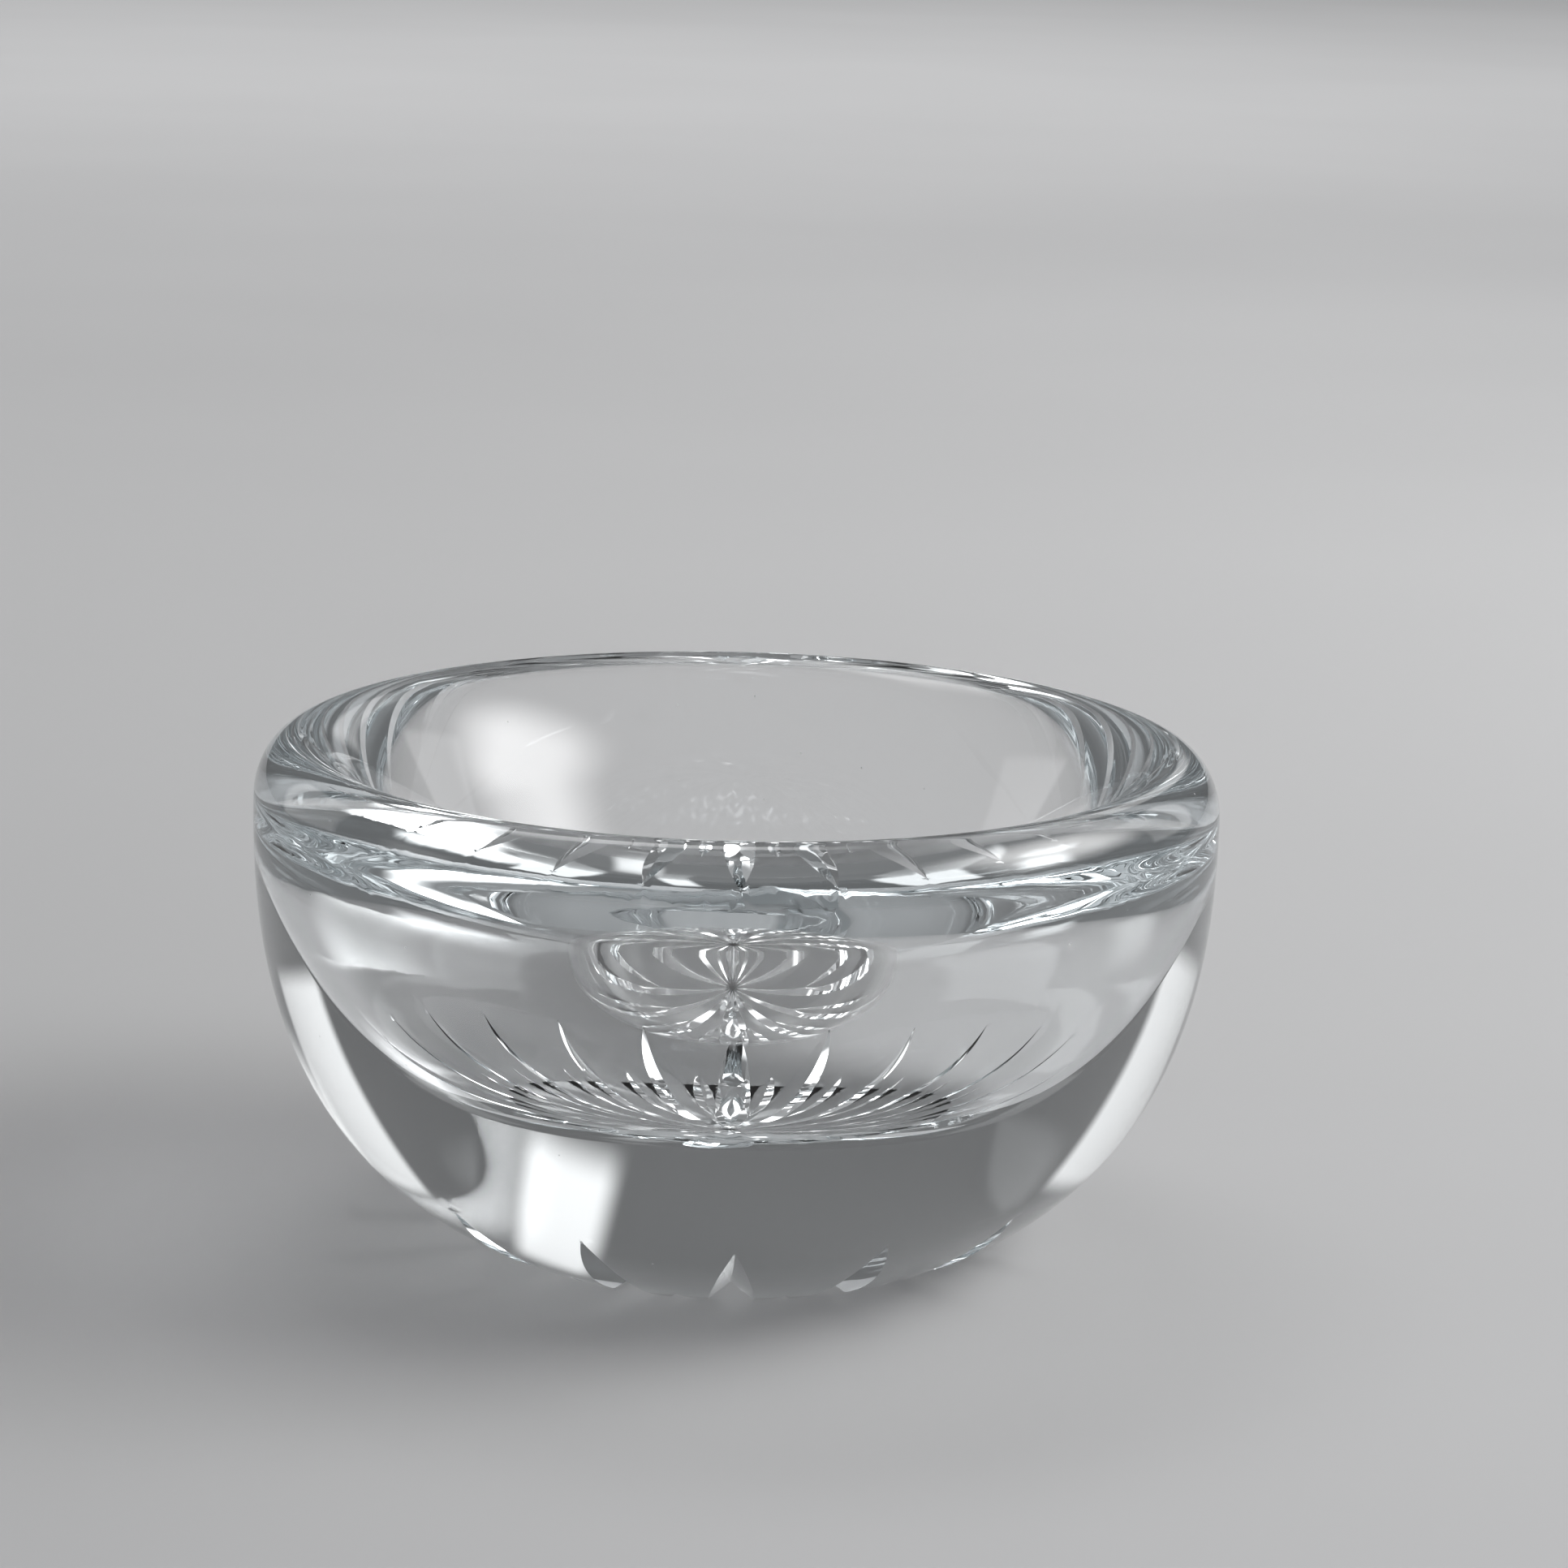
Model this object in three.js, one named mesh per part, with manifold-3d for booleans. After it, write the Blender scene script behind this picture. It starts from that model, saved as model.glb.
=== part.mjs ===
// A small heavy bowl of clear lead crystal, one solid piece of glass. The wall is thick and full, the rim
// is fire-polished round, the hollow is a smooth cone with a rounded bottom over a very thick floor, and a
// star of mitre cuts runs under the foot and a little way up the wall. Millimetres, +Z up: the bowl stands
// on z = 0 and its axis is the Z axis.
import * as THREE from "three";
import { mergeVertices } from "three/addons/utils/BufferGeometryUtils.js";
import Module from "manifold-3d";

// Outside
const outerDiameter = 120; // at the widest, just under the rim
const height = 63; // from the resting face to the crest of the rim
const footDiameter = 60; // where the wall meets the flat underside
const wallFullness = 2.5; // exponent of the superellipse that the wall follows

// Rim, whose crest lies nearer the outside than the hollow
const crestInset = 5.6; // from the widest outside in to the crest
const outerRounding = 7.6; // from the crest down to the widest outside
const innerRounding = 14.5; // from the crest down to the hollow's straight side
const rimWidth = 19.5; // from the widest outside in to the top of that side

// Hollow
const hollowSlope = 26.5; // degrees that the hollow's side leans out from upright
const floorThickness = 24.4; // glass under the lowest point of the hollow
const hollowFullness = 4.1; // exponent of the superellipse that rounds the hollow's bottom

// Star of mitre cuts: long ones from the middle of the underside round the corner of the foot, and short
// ones between them, under it
const cutPairs = 16;
const cutTurn = 1.3; // degrees from the front, round to the right, to the first long cut
const mitreAngle = 104; // degrees between the two faces of a cut
const longCutDepth = 2.2;
const longCutHalf = 25; // along the surface, from a long cut's deepest point to its end on the wall
const longCutCentre = -4; // from the foot's corner to that deepest point, up the wall or, below 0, under it
const starMiddle = 1.6; // across the plain spot that the long cuts leave in the middle of the underside
const shortCutDepth = 1.2;
const shortCutHalf = 11; // from a short cut's deepest point to each end
const shortCutCentre = -6;
const cutFullness = 3; // exponent by which a cut's depth falls off towards its ends
const wheelRunOut = 0.15; // how far the wheel runs on past each end of a cut, as a share of its half
const wheelHeight = 3; // how far its wedge reaches out of the glass, as a multiple of the cut's depth

// Fineness of the faceted surface
const aroundSteps = 64;
const wallSteps = 14;
const roundingSteps = 6;
const hollowSteps = 13;
const cutSteps = 10;
const skinSteps = 112; // along the wall, where a cut follows it
const mergeDistance = 1e-4;

const wasm = await Module();
wasm.setup();

const outerRadius = outerDiameter / 2;
const footRadius = footDiameter / 2;
const crestRadius = outerRadius - crestInset;
const hollowRadius = outerRadius - rimWidth;
const widestHeight = height - outerRounding;
const hollowTop = height - innerRounding;
const hollowLean = Math.tan(THREE.MathUtils.degToRad(hollowSlope));

// A quarter of a superellipse about (x, y), from angle start to angle end in quarter turns.
function superArc(x, y, halfWidth, halfHeight, fullness, start, end, steps) {
  const points = [];
  for (let i = 0; i <= steps; i++) {
    const angle = ((start + ((end - start) * i) / steps) * Math.PI) / 2;
    const across = Math.abs(Math.cos(angle)) ** (2 / fullness) * Math.sign(Math.cos(angle));
    const up = Math.abs(Math.sin(angle)) ** (2 / fullness) * Math.sign(Math.sin(angle));
    points.push(new THREE.Vector2(x + halfWidth * across, y + halfHeight * up));
  }
  return points;
}

// The wall's curve would close on the axis at this depth under its widest point: the flat foot cuts it off.
const footShare = 1 - (footRadius / outerRadius) ** wallFullness;
const wallDepth = widestHeight / footShare ** (1 / wallFullness);
const footQuarter = Math.asin(Math.sqrt(footShare)) / (Math.PI / 2);

function wallPoints(steps) {
  return superArc(0, widestHeight, outerRadius, wallDepth, wallFullness, -footQuarter, 0, steps);
}

// The rim's inner rounding is sheared, so that it runs smoothly into the hollow's leaning side.
function rimPoints() {
  const outer = superArc(crestRadius, widestHeight, crestInset, outerRounding, 2, 0, 1, roundingSteps);
  const innerWidth = crestRadius - hollowRadius - innerRounding * hollowLean;
  const inner = superArc(crestRadius, hollowTop, innerWidth, innerRounding, 2, 1, 2, roundingSteps);
  for (const point of inner) {
    point.x += (point.y - height) * hollowLean;
  }
  return [...outer.slice(1), ...inner.slice(1)];
}

function hollowPoints() {
  const depth = hollowTop - floorThickness;
  const points = superArc(0, hollowTop, 1, depth, hollowFullness, 0, -1, hollowSteps);
  for (const point of points) {
    point.x *= hollowRadius - (hollowTop - point.y) * hollowLean;
  }
  points.at(-1).x = 0;
  return points.slice(1);
}

// A closed solid from a geometry, with its shared points merged and its collapsed triangles dropped.
function solid(geometry) {
  const bare = geometry.clone();
  bare.deleteAttribute("normal");
  bare.deleteAttribute("uv");
  const merged = mergeVertices(bare, mergeDistance);
  const index = merged.index.array;
  const kept = [];
  for (let i = 0; i < index.length; i += 3) {
    const [a, b, c] = index.slice(i, i + 3);
    if (a !== b && b !== c && c !== a) kept.push(a, b, c);
  }
  const vertProperties = merged.attributes.position.array;
  const triVerts = new Uint32Array(kept);
  return new wasm.Manifold(new wasm.Mesh({ numProp: 3, vertProperties, triVerts }));
}

function blank() {
  const outline = [new THREE.Vector2(0, 0), ...wallPoints(wallSteps), ...rimPoints(), ...hollowPoints()];
  const turned = new THREE.LatheGeometry(outline, aroundSteps, THREE.MathUtils.degToRad(cutTurn));
  return solid(turned.rotateX(Math.PI / 2));
}

// A mitre cut as the wedge of glass that it takes away, in the plane y = 0 on the +X side. Its edge follows
// the glass, across the underside and up the wall, at a depth that falls off to nothing at each end as a
// wheel's cut does. innerHalf and outerHalf lead from its deepest point to its ends.
function mitreWedge(depth, innerHalf, outerHalf, centre) {
  const skin = new THREE.CurvePath();
  const finePoints = wallPoints(skinSteps);
  skin.add(new THREE.LineCurve(new THREE.Vector2(-footRadius, 0), finePoints[0]));
  skin.add(new THREE.SplineCurve(finePoints));
  const edge = [];
  for (let i = 0; i <= cutSteps; i++) {
    const share = (1 + wheelRunOut) * ((2 * i) / cutSteps - 1);
    const half = share < 0 ? innerHalf : outerHalf;
    const along = (footDiameter + centre + half * share) / skin.getLength();
    const point = skin.getPointAt(along);
    const tangent = skin.getTangentAt(along);
    const sink = depth * (1 - Math.abs(share) ** cutFullness);
    edge.push(new THREE.Vector3(point.x - tangent.y * sink, 0, point.y + tangent.x * sink));
  }
  const wedgeHeight = wheelHeight * depth;
  const wedgeHalf = wedgeHeight * Math.tan(THREE.MathUtils.degToRad(mitreAngle / 2));
  const section = new THREE.Shape();
  section.moveTo(0, 0);
  section.lineTo(wedgeHalf, wedgeHeight);
  section.lineTo(-wedgeHalf, wedgeHeight);
  section.closePath();
  const extrudePath = new THREE.CatmullRomCurve3(edge);
  return new THREE.ExtrudeGeometry(section, { steps: cutSteps, extrudePath, bevelEnabled: false });
}

function cutStar(glass) {
  const underHalf = footRadius + longCutCentre - starMiddle / 2;
  const long = mitreWedge(longCutDepth, underHalf, longCutHalf, longCutCentre);
  const short = mitreWedge(shortCutDepth, shortCutHalf, shortCutHalf, shortCutCentre);
  const pitch = (2 * Math.PI) / cutPairs;
  const front = THREE.MathUtils.degToRad(cutTurn) - Math.PI / 2;
  let cut = glass;
  for (let i = 0; i < cutPairs; i++) {
    cut = cut.subtract(solid(long.clone().rotateZ(front + i * pitch)));
    cut = cut.subtract(solid(short.clone().rotateZ(front + (i + 0.5) * pitch)));
  }
  return cut;
}

function meshOf(shape, name, material) {
  const { vertProperties, triVerts } = shape.getMesh();
  const geometry = new THREE.BufferGeometry();
  geometry.setAttribute("position", new THREE.BufferAttribute(vertProperties, 3));
  geometry.setIndex(new THREE.BufferAttribute(triVerts, 1));
  geometry.computeVertexNormals();
  const mesh = new THREE.Mesh(geometry, material);
  mesh.name = name;
  return mesh;
}

const crystal = new THREE.MeshStandardMaterial({
  color: 0xeef2f4,
  roughness: 0.03,
  metalness: 0,
  transparent: true,
  opacity: 0.35,
});

const part = new THREE.Group();
part.add(meshOf(cutStar(blank()), "bowl", crystal));

export default part;
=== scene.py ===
# A small heavy bowl of clear cut crystal on a pale studio floor. The bowl's sizes repeat those of the
# part's source, and lengths are in metres.
import math

import bpy
import numpy as np
from mathutils import Matrix, Quaternion, Vector


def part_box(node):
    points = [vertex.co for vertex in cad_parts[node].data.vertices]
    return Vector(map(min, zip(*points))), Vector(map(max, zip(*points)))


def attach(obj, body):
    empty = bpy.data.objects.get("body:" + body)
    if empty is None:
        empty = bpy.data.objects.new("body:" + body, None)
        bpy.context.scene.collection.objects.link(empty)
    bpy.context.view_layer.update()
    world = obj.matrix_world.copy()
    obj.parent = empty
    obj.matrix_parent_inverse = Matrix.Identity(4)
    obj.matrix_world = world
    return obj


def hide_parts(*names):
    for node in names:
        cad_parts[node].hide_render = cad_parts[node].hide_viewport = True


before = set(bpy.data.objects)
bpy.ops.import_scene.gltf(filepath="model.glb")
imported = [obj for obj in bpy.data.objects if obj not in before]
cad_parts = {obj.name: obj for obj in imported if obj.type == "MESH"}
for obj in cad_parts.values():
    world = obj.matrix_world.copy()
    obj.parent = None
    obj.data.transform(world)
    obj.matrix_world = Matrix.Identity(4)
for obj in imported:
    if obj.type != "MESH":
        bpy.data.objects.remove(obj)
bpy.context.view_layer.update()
bowl_low, bowl_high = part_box("bowl")

MM = 0.001
plain_ellipse = 2  # fullness of a superellipse that is a plain ellipse

# Outside of the bowl
outer_radius = (bowl_high.x - bowl_low.x) / 2
height = bowl_high.z
foot_radius = 30 * MM
wall_fullness = 2.5

# Rim
crest_inset = 5.6 * MM
outer_rounding = 7.6 * MM
inner_rounding = 14.5 * MM
rim_width = 19.5 * MM

# Hollow
hollow_lean = math.tan(math.radians(26.5))
floor_thickness = 24.4 * MM
hollow_fullness = 4.1

# Star of mitre cuts
cut_pairs = 16
cut_turn = math.radians(1.3)
mitre_angle = math.radians(104)
mitre_tangent = math.tan(mitre_angle / 2)
cut_fullness = 3
star_middle = 1.6 * MM
long_cut = {"depth": 2.2 * MM, "centre": -4 * MM, "outer_half": 25 * MM}
long_cut["inner_half"] = foot_radius + long_cut["centre"] - star_middle / 2
short_cut = {"depth": 1.2 * MM, "centre": -6 * MM, "outer_half": 11 * MM, "inner_half": 11 * MM}
run_out_limit = 5  # past its end a cut loses at most so many times its depth
run_out_fade = 4 * MM  # below nothing, over which the columns spread out to even ones
corner_easing = 4 * MM  # to each side of a row, over which the way into the glass is averaged
corner_reach = 3 * corner_easing  # to each side of the foot's corner, where that is done

# Crystal
clear_colour = (1, 1, 1, 1)
glass_index = 1.545
depth_tint = (0.86, 0.94, 0.97, 1)
depth_density = 3
wave_size = 22 * MM
wave_detail = 1
wave_height = 0.03 * MM
smudge_size = 36 * MM
smudge_detail = 5
smudge_limits = (0.52, 0.75)  # of the noise, from no smudge to a full one
smudge_roughness = 0.035
scratch_size = 1.1 * MM
scratch_detail = 3
scratch_limits = (0.4, 0.65)  # of the noise, from between the scratches to the middle of one
rest_roughness = 0.03  # of the resting face between its scratches
wear_height = 0.2 * MM  # how far above the table the resting face's wear reaches
wear_roughness = 0.25
speck_spacing = 6.5 * MM
speck_radius = 0.16 * MM
speck_core = 0.6  # share of that radius where a speck is at its dullest
speck_clearness = 0.5

# Studio
floor_half = 6
floor_roughness = 0.8
floor_patches = 40  # of its faint mottling, across its width
floor_shades = ((0.54, 0.54, 0.545, 1), (0.6, 0.6, 0.605, 1))
lamp_distance = 1.1
far_lamp_place = Vector((0, 1.6, 2))
far_lamp_aim = Vector((0, 4.2, 0))
horizon_light = (0.13, 0.131, 0.133, 1)
zenith_light = (0.4, 0.404, 0.41, 1)
levels_between = ((30, 0.14), (60, 0.3))  # degrees above the horizon, and the light there
sky_tint = (1, 1.01, 1.025)
glass_bounces = 32
mirror_bounces = 16

# Fineness of the mesh
cut_step = 0.55 * MM
plain_step = 0.9 * MM
curve_points = 2000
long_columns = 3
land_columns = 4
short_columns = 3
least_width = 0.004  # radians, so that no column closes up where a cut runs out
most_width = 0.8  # share of half a sector that one cut's columns take at most
most_widths = 0.96  # and that both cuts' columns take together
least_radius = 1e-9  # so that nothing is divided by 0 on the axis


def super_arc(x, z, half_width, half_height, fullness, start, end):
    """Points on a superellipse about (x, z), from start to end in quarter turns."""
    angle = np.linspace(start, end, curve_points) * math.pi / 2
    across = np.sign(np.cos(angle)) * np.abs(np.cos(angle)) ** (2 / fullness)
    up = np.sign(np.sin(angle)) * np.abs(np.sin(angle)) ** (2 / fullness)
    return np.stack([x + half_width * across, z + half_height * up], 1)


def lengths(points):
    """Distance of each point from the first, along the line."""
    return np.concatenate([[0], np.cumsum(np.hypot(*np.diff(points, axis=0).T))])


def spaced(points, step):
    """The same line with even points about a step apart."""
    far = lengths(points)
    places = np.linspace(0, far[-1], math.ceil(far[-1] / step) + 1)
    return np.stack([np.interp(places, far, points[:, k]) for k in range(2)], 1)


def section():
    """The bowl's outline as (radius, height), from the middle of the underside over the rim to the middle
    of the hollow, and the row of the foot's corner in it."""
    widest = height - outer_rounding
    crest = outer_radius - crest_inset
    hollow_top = height - inner_rounding
    hollow_radius = outer_radius - rim_width
    foot_share = 1 - (foot_radius / outer_radius) ** wall_fullness
    wall_depth = widest / foot_share ** (1 / wall_fullness)
    foot_quarter = math.asin(math.sqrt(foot_share)) / (math.pi / 2)

    under = np.array([[0, 0], [foot_radius, 0]])
    wall = super_arc(0, widest, outer_radius, wall_depth, wall_fullness, -foot_quarter, 0)
    cut_end = np.searchsorted(lengths(wall), long_cut["centre"] + long_cut["outer_half"])
    rim_out = super_arc(crest, widest, crest_inset, outer_rounding, plain_ellipse, 0, 1)
    rim_width_in = crest - hollow_radius - inner_rounding * hollow_lean
    rim_in = super_arc(crest, hollow_top, rim_width_in, inner_rounding, plain_ellipse, 1, 2)
    rim_in[:, 0] += (rim_in[:, 1] - height) * hollow_lean
    hollow = super_arc(0, hollow_top, 1, hollow_top - floor_thickness, hollow_fullness, 0, -1)
    hollow[:, 0] *= hollow_radius - (hollow_top - hollow[:, 1]) * hollow_lean

    under = spaced(under, cut_step)
    stretches = [
        spaced(wall[: cut_end + 1], cut_step),
        spaced(wall[cut_end:], plain_step),
        spaced(rim_out, cut_step),
        spaced(rim_in, cut_step),
        spaced(hollow, plain_step),
    ]
    outline = np.concatenate([under] + [stretch[1:] for stretch in stretches])
    return outline, len(under) - 1


def sink_directions(outline, along, corner):
    """The way into the glass at each row, turned gradually round the corner of the foot."""
    tangent = np.gradient(outline, along, axis=0)
    inward = np.stack([-tangent[:, 1], tangent[:, 0]], 1)
    eased = inward.copy()
    for row in np.flatnonzero(np.abs(along - along[corner]) < corner_reach):
        eased[row] = inward[np.abs(along - along[row]) < corner_easing].mean(0)
    return eased / np.hypot(*eased.T)[:, None]


def cut_depths(along, corner, cut):
    """How deep a cut is at each row, below nothing where it has run out."""
    place = along - along[corner] - cut["centre"]
    share = np.where(place < 0, -place / cut["inner_half"], place / cut["outer_half"])
    return cut["depth"] * (1 - np.minimum(share ** cut_fullness, run_out_limit))


def shoulder_angles(depths, radius, half, plain_share):
    """Half the angle that a cut takes at each row, which eases to its plain share where there is no cut."""
    cut = np.maximum(np.maximum(depths, 0) * mitre_tangent / radius, least_width)
    fade = np.clip(-depths / run_out_fade, 0, 1)
    fade = fade * fade * (3 - 2 * fade)
    return np.minimum(cut * (1 - fade) + half * plain_share * fade, most_width * half)


def sector_columns(long_depths, short_depths, radius, half):
    """The angle of each column in one sector at each row, from one long cut to the next, with the columns
    that lie on a line of the long cut and of the short cut."""
    total = long_columns + land_columns + short_columns
    long_side = shoulder_angles(long_depths, radius, half, long_columns / total)
    short_side = shoulder_angles(short_depths, radius, half, short_columns / total)
    squeeze = np.minimum(1, most_widths * half / (long_side + short_side))
    long_side = long_side * squeeze
    short_side = short_side * squeeze
    land = half - long_side - short_side
    columns = [long_side * i / long_columns for i in range(long_columns)]
    columns += [long_side + land * i / land_columns for i in range(land_columns)]
    columns += [half - short_side * (1 - i / short_columns) for i in range(short_columns)]
    columns += [np.full_like(radius, half)]
    mirrored = [2 * half - column for column in columns[-2:0:-1]]
    last = 2 * total
    long_lines = {0, long_columns, last - long_columns}
    short_lines = {long_columns + land_columns, total, total + short_columns}
    return columns + mirrored, long_lines, short_lines


def bowl_mesh():
    """The whole surface as rows of quads round the axis, closed by a fan of triangles at each pole. The
    lines of the cuts and the foot's corner stay crisp."""
    outline, corner = section()
    along = lengths(outline)
    sink = sink_directions(outline, along, corner)
    radius = np.maximum(outline[:, 0], least_radius)
    half = math.pi / cut_pairs
    long_depths = cut_depths(along, corner, long_cut)
    short_depths = cut_depths(along, corner, short_cut)
    sector, long_lines, short_lines = sector_columns(long_depths, short_depths, radius, half)

    grid = []
    for pair in range(cut_pairs):
        for angle in sector:
            from_long = np.minimum(angle, 2 * half - angle) * radius
            from_short = np.abs(angle - half) * radius
            long_sink = long_depths - from_long / mitre_tangent
            short_sink = short_depths - from_short / mitre_tangent
            depth = np.maximum(0, np.maximum(long_sink, short_sink))
            r = outline[:, 0] + sink[:, 0] * depth
            z = outline[:, 1] + sink[:, 1] * depth
            turn = cut_turn + pair * 2 * half + angle
            grid.append(np.stack([r * np.sin(turn), -r * np.cos(turn), z], 1))
    grid = np.stack(grid, 1)[1:-1]  # without the first and last rows, which close up on the axis

    rows, columns = grid.shape[:2]
    number = np.arange(rows * columns).reshape(rows, columns)
    beside = np.roll(number, -1, axis=1)
    quads = np.stack([number[:-1], beside[:-1], beside[1:], number[1:]], -1).reshape(-1, 4)
    under_pole = rows * columns
    hollow_pole = under_pole + 1
    fans = [(under_pole, beside[0, j], number[0, j]) for j in range(columns)]
    fans += [(hollow_pole, number[-1, j], beside[-1, j]) for j in range(columns)]
    poles = [(0, 0, outline[0, 1]), (0, 0, outline[-1, 1])]
    points = np.concatenate([grid.reshape(-1, 3), poles])
    mesh = bpy.data.meshes.new("bowl_glass")
    mesh.from_pydata(points.tolist(), [], quads.tolist() + fans)
    mesh.shade_smooth()

    crisp = set()
    for j in range(columns):
        place = j % len(sector)
        depths = long_depths if place in long_lines else short_depths
        if place in long_lines | short_lines:
            for i in np.flatnonzero(depths[1:-2] > 0):
                crisp.add((number[i, j], number[i + 1, j]))
        crisp.add(tuple(sorted((number[corner - 1, j], beside[corner - 1, j]))))
    mark_crisp(mesh, crisp)
    return mesh


def mark_crisp(mesh, crisp):
    """Keeps the given edges, as pairs of point numbers, sharp in the shading."""
    ends = np.zeros(len(mesh.edges) * 2, dtype=np.int64)
    mesh.edges.foreach_get("vertices", ends)
    ends = np.sort(ends.reshape(-1, 2), axis=1)
    sharp = mesh.attributes.new("sharp_edge", "BOOLEAN", "EDGE")
    sharp.data.foreach_set("value", [(a, b) in crisp for a, b in ends.tolist()])


def new_material(name):
    material = bpy.data.materials.new(name)
    material.use_nodes = True
    return material, material.node_tree, material.node_tree.nodes["Principled BSDF"]


def noise(tree, place, size, detail):
    texture = tree.nodes.new("ShaderNodeTexNoise")
    texture.inputs["Scale"].default_value = 1 / size
    texture.inputs["Detail"].default_value = detail
    tree.links.new(place, texture.inputs["Vector"])
    return texture.outputs["Fac"]


def remap(tree, value, start, end, low, high):
    """The value's stretch from start to end, spread softly from low to high."""
    ramp = tree.nodes.new("ShaderNodeMapRange")
    ramp.interpolation_type = "SMOOTHSTEP"
    for name, number in (("From Min", start), ("From Max", end), ("To Min", low), ("To Max", high)):
        ramp.inputs[name].default_value = number
    tree.links.new(value, ramp.inputs["Value"])
    return ramp.outputs["Result"]


def combine(tree, operation, first, second):
    math_node = tree.nodes.new("ShaderNodeMath")
    math_node.operation = operation
    tree.links.new(first, math_node.inputs[0])
    tree.links.new(second, math_node.inputs[1])
    return math_node.outputs[0]


def crystal():
    """Clear crystal, faintly tinted in its depth and polished by hand: a slow waviness, faint smudges,
    sparse specks of dust, and a resting face that is worn and scratched."""
    material, tree, glass = new_material("crystal")
    glass.inputs["Base Color"].default_value = clear_colour
    glass.inputs["IOR"].default_value = glass_index
    body = tree.nodes.new("ShaderNodeVolumeAbsorption")
    body.inputs["Color"].default_value = depth_tint
    body.inputs["Density"].default_value = depth_density
    tree.links.new(body.outputs[0], tree.nodes["Material Output"].inputs["Volume"])

    place = tree.nodes.new("ShaderNodeTexCoord").outputs["Object"]
    smudge_noise = noise(tree, place, smudge_size, smudge_detail)
    smudges = remap(tree, smudge_noise, *smudge_limits, 0, smudge_roughness)
    split = tree.nodes.new("ShaderNodeSeparateXYZ")
    tree.links.new(place, split.inputs[0])
    resting = remap(tree, split.outputs["Z"], wear_height, 0, 0, 1)
    scratch_noise = noise(tree, place, scratch_size, scratch_detail)
    scratches = remap(tree, scratch_noise, *scratch_limits, rest_roughness, wear_roughness)
    worn = combine(tree, "MULTIPLY", resting, scratches)
    tree.links.new(combine(tree, "MAXIMUM", smudges, worn), glass.inputs["Roughness"])

    specks = tree.nodes.new("ShaderNodeTexVoronoi")
    specks.inputs["Scale"].default_value = 1 / speck_spacing
    tree.links.new(place, specks.inputs["Vector"])
    speck_edge = speck_radius / speck_spacing
    clear = remap(tree, specks.outputs["Distance"], speck_core * speck_edge, speck_edge, speck_clearness, 1)
    tree.links.new(clear, glass.inputs["Transmission Weight"])

    waves = tree.nodes.new("ShaderNodeBump")
    waves.inputs["Strength"].default_value = 1
    waves.inputs["Distance"].default_value = wave_height
    tree.links.new(noise(tree, place, wave_size, wave_detail), waves.inputs["Height"])
    tree.links.new(waves.outputs["Normal"], glass.inputs["Normal"])
    return material


def pale_floor():
    """Matt pale paint, faintly mottled."""
    material, tree, paint = new_material("pale_floor")
    paint.inputs["Roughness"].default_value = floor_roughness
    grain = tree.nodes.new("ShaderNodeTexNoise")
    grain.inputs["Scale"].default_value = floor_patches
    ramp = tree.nodes.new("ShaderNodeValToRGB")
    for stop, shade in zip(ramp.color_ramp.elements, floor_shades):
        stop.color = shade
    tree.links.new(grain.outputs["Fac"], ramp.inputs["Fac"])
    tree.links.new(ramp.outputs["Color"], paint.inputs["Base Color"])
    return material


def studio_floor():
    mesh = bpy.data.meshes.new("studio_floor")
    corners = [(floor_half * x, floor_half * y, 0) for x, y in ((-1, -1), (1, -1), (1, 1), (-1, 1))]
    mesh.from_pydata(corners, [], [(0, 1, 2, 3)])
    mesh.materials.append(pale_floor())
    floor = bpy.data.objects.new("studio_floor", mesh)
    bpy.context.scene.collection.objects.link(floor)


def soft_edges(lamp, edge):
    """Lets the lamp's light fade out towards its edges, over a share of its width and height."""
    lamp.use_nodes = True
    tree = lamp.node_tree
    place = tree.nodes.new("ShaderNodeNewGeometry")
    split = tree.nodes.new("ShaderNodeSeparateXYZ")
    tree.links.new(place.outputs["Parametric"], split.inputs[0])
    middle = 0.5
    fades = []
    for axis in ("X", "Y"):
        inside = tree.nodes.new("ShaderNodeMath")
        inside.operation = "PINGPONG"
        inside.inputs[1].default_value = middle
        tree.links.new(split.outputs[axis], inside.inputs[0])
        fades.append(remap(tree, inside.outputs[0], 0, edge, 0, 1))
    tree.links.new(combine(tree, "MULTIPLY", *fades), tree.nodes["Emission"].inputs["Strength"])


def soft_lamp(name, place, aim, width, tall, radiance, edge, lean=0):
    """A soft lamp at a place, which faces the aim with its top leaning by some degrees."""
    lamp = bpy.data.lights.new(name, "AREA")
    lamp.shape = "RECTANGLE"
    lamp.size = width
    lamp.size_y = tall
    lamp.energy = radiance * math.pi * width * tall
    soft_edges(lamp, edge)
    box = bpy.data.objects.new(name, lamp)
    box.location = place
    facing = (aim - place).to_track_quat("-Z", "Y")
    box.rotation_euler = (facing @ Quaternion((0, 0, 1), math.radians(-lean))).to_euler()
    box.visible_camera = False
    bpy.context.scene.collection.objects.link(box)


def softbox(name, bearing, rise, **lamp):
    """A soft lamp that faces the bowl. Its bearing is from the front round to the right and its rise from
    the floor up, both in degrees. It leans towards a larger bearing."""
    turn = math.radians(bearing)
    lift = math.radians(rise)
    toward = Vector((math.sin(turn) * math.cos(lift), -math.cos(turn) * math.cos(lift), math.sin(lift)))
    middle = Vector((0, 0, height / 2))
    soft_lamp(name, middle + lamp_distance * toward, middle, **lamp)


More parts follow.
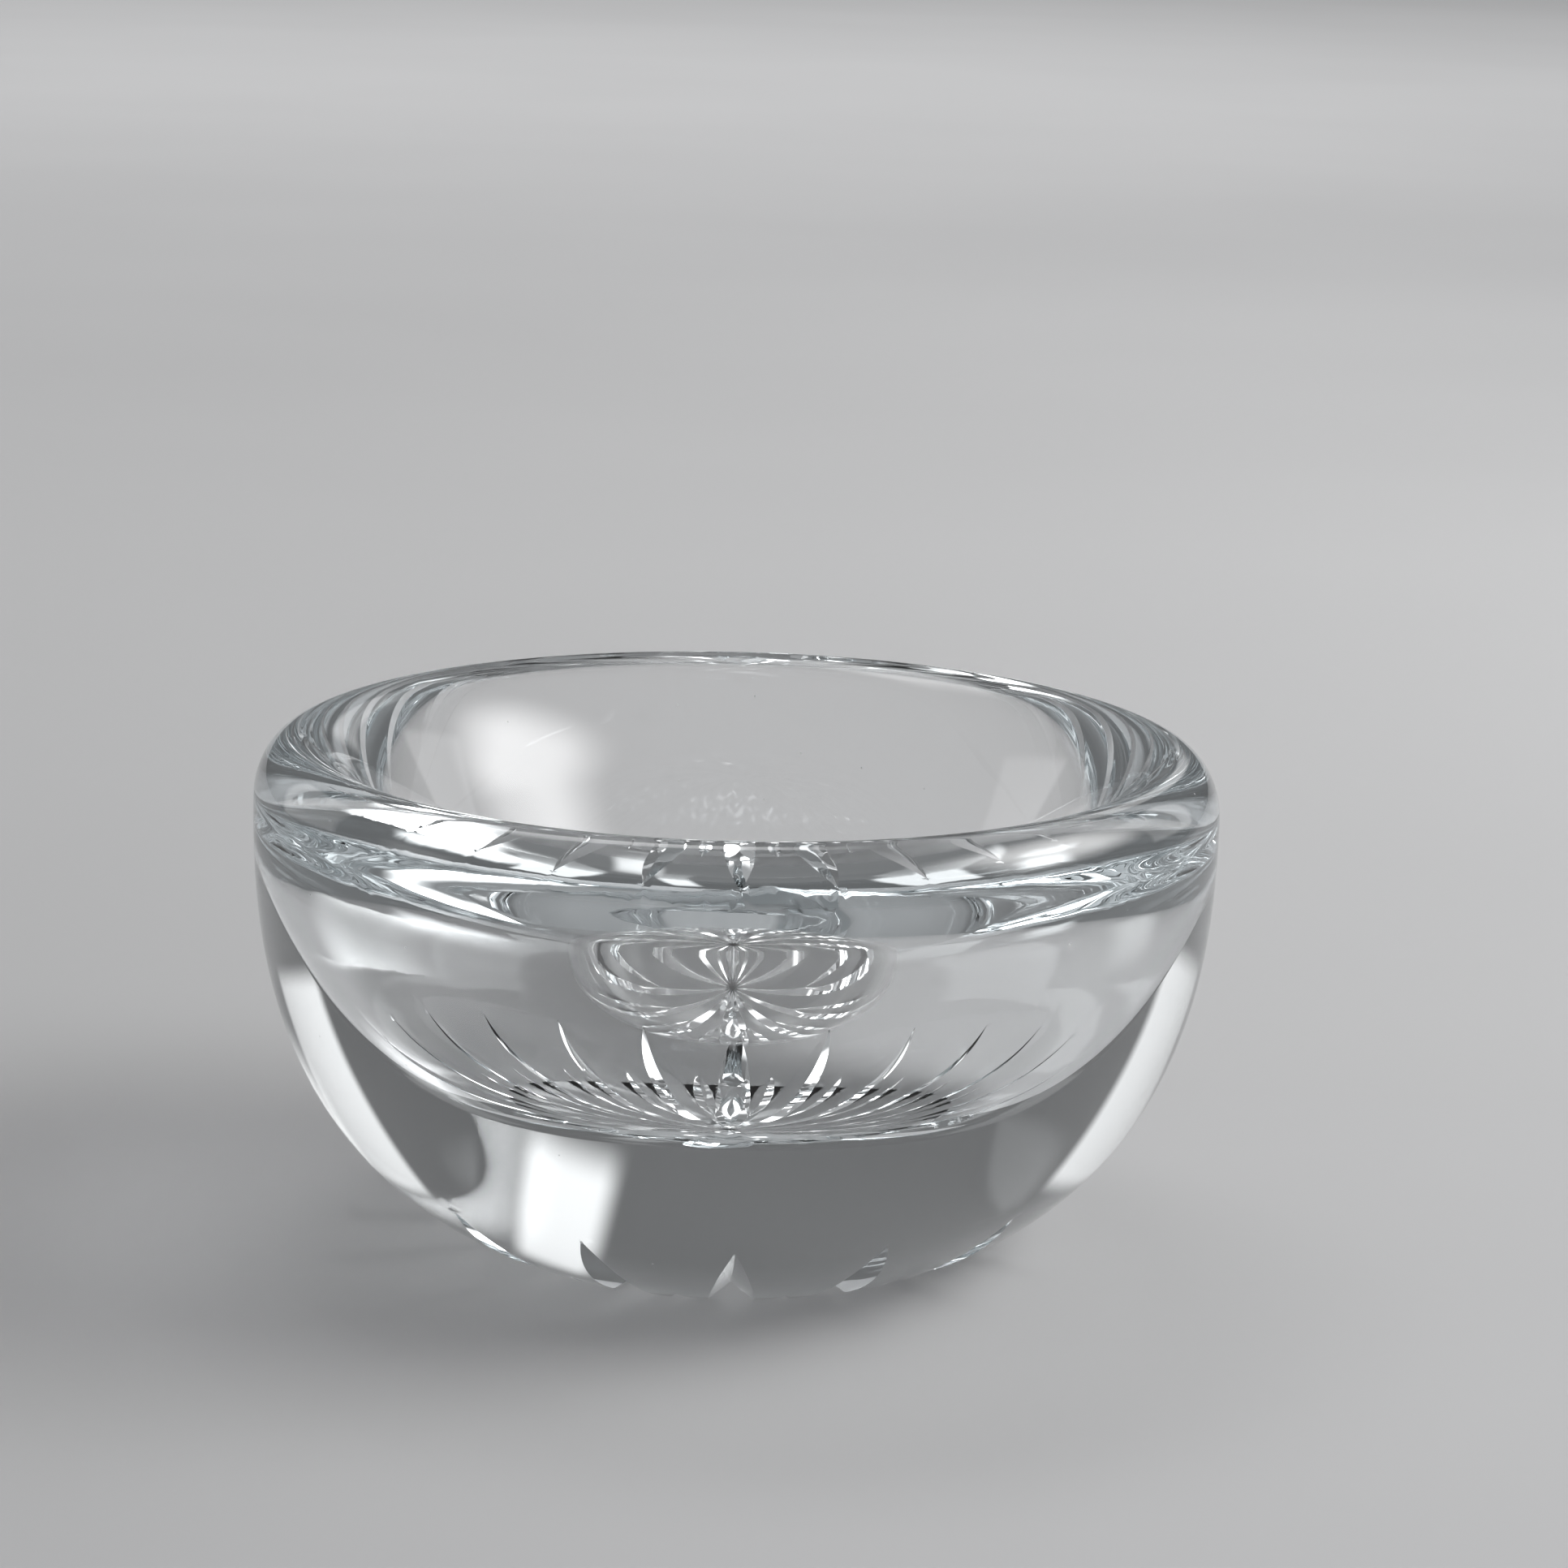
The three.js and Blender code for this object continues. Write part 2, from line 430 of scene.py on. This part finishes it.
def studio_light():
    """Soft lamps where the photograph's highlights show them, and one behind that lights the far floor."""
    softbox("key_softbox", bearing=91, rise=38, width=1.25, tall=0.87, radiance=8, edge=0.4)
    softbox("top_softbox", bearing=195, rise=62, width=0.75, tall=0.4, radiance=3, edge=0.3)
    softbox("left_softbox", bearing=282, rise=18, width=0.6, tall=0.34, radiance=1, edge=0.4)
    softbox("right_edge_strip", bearing=127, rise=20, width=0.45, tall=0.6, radiance=1, edge=0.12, lean=18)
    softbox("right_back_strip", bearing=163, rise=25, width=0.2, tall=0.66, radiance=1, edge=0.25, lean=-18)
    softbox(
        "left_edge_strip", bearing=238, rise=18, width=0.55, tall=0.64, radiance=0.9, edge=0.12, lean=-22
    )
    soft_lamp("far_floor_softbox", far_lamp_place, far_lamp_aim, width=3, tall=1.2, radiance=7, edge=0.2)


def studio_world():
    """A pale ceiling that darkens softly down to the walls of the room."""
    world = bpy.data.worlds.new("studio")
    world.use_nodes = True
    tree = world.node_tree
    place = tree.nodes.new("ShaderNodeTexCoord")
    split = tree.nodes.new("ShaderNodeSeparateXYZ")
    ramp = tree.nodes.new("ShaderNodeValToRGB")
    tree.links.new(place.outputs["Generated"], split.inputs[0])
    tree.links.new(split.outputs["Z"], ramp.inputs["Fac"])
    tree.links.new(ramp.outputs["Color"], tree.nodes["Background"].inputs["Color"])
    stops = ramp.color_ramp.elements
    stops[0].color = horizon_light
    stops[1].color = zenith_light
    for rise, level in levels_between:
        stop = stops.new(math.sin(math.radians(rise)))
        stop.color = (*(share * level for share in sky_tint), 1)
    bpy.context.scene.world = world


def photo_camera():
    """The photograph's view: its height, lean and focal length, with the bowl at its place in the frame."""
    frame_pixels = 1932
    focal_pixels = 5500
    bowl_pixel = Vector((902.3, 1224.5))
    distance = 0.5632
    elevation = math.radians(15.67)
    lean = math.radians(1.42)
    target = Vector((0, 0, 0.030))

    camera = bpy.data.cameras.new("camera")
    camera.sensor_width = 36
    camera.lens = camera.sensor_width * focal_pixels / frame_pixels
    eye = bpy.data.objects.new("camera", camera)
    bpy.context.scene.collection.objects.link(eye)
    bpy.context.scene.camera = eye
    forward = Vector((0, math.cos(elevation), -math.sin(elevation)))
    level = Matrix.Rotation(math.pi / 2 - elevation, 4, "X") @ Matrix.Rotation(lean, 4, "Z")
    across = bowl_pixel.x - frame_pixels / 2
    down = bowl_pixel.y - frame_pixels / 2
    aside = Vector((across, -down, -focal_pixels)).rotation_difference(Vector((0, 0, -1)))
    eye.matrix_world = Matrix.Translation(target - distance * forward) @ level @ aside.to_matrix().to_4x4()


bowl = bpy.data.objects.new("bowl_glass", bowl_mesh())
bpy.context.scene.collection.objects.link(bowl)
bowl.data.materials.append(crystal())
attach(bowl, "root")
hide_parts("bowl")

studio_floor()
studio_light()
studio_world()
photo_camera()

scene = bpy.context.scene
scene.view_settings.view_transform = "Standard"
scene.cycles.max_bounces = glass_bounces
scene.cycles.transmission_bounces = glass_bounces
scene.cycles.glossy_bounces = mirror_bounces

bpy.context.view_layer.update()
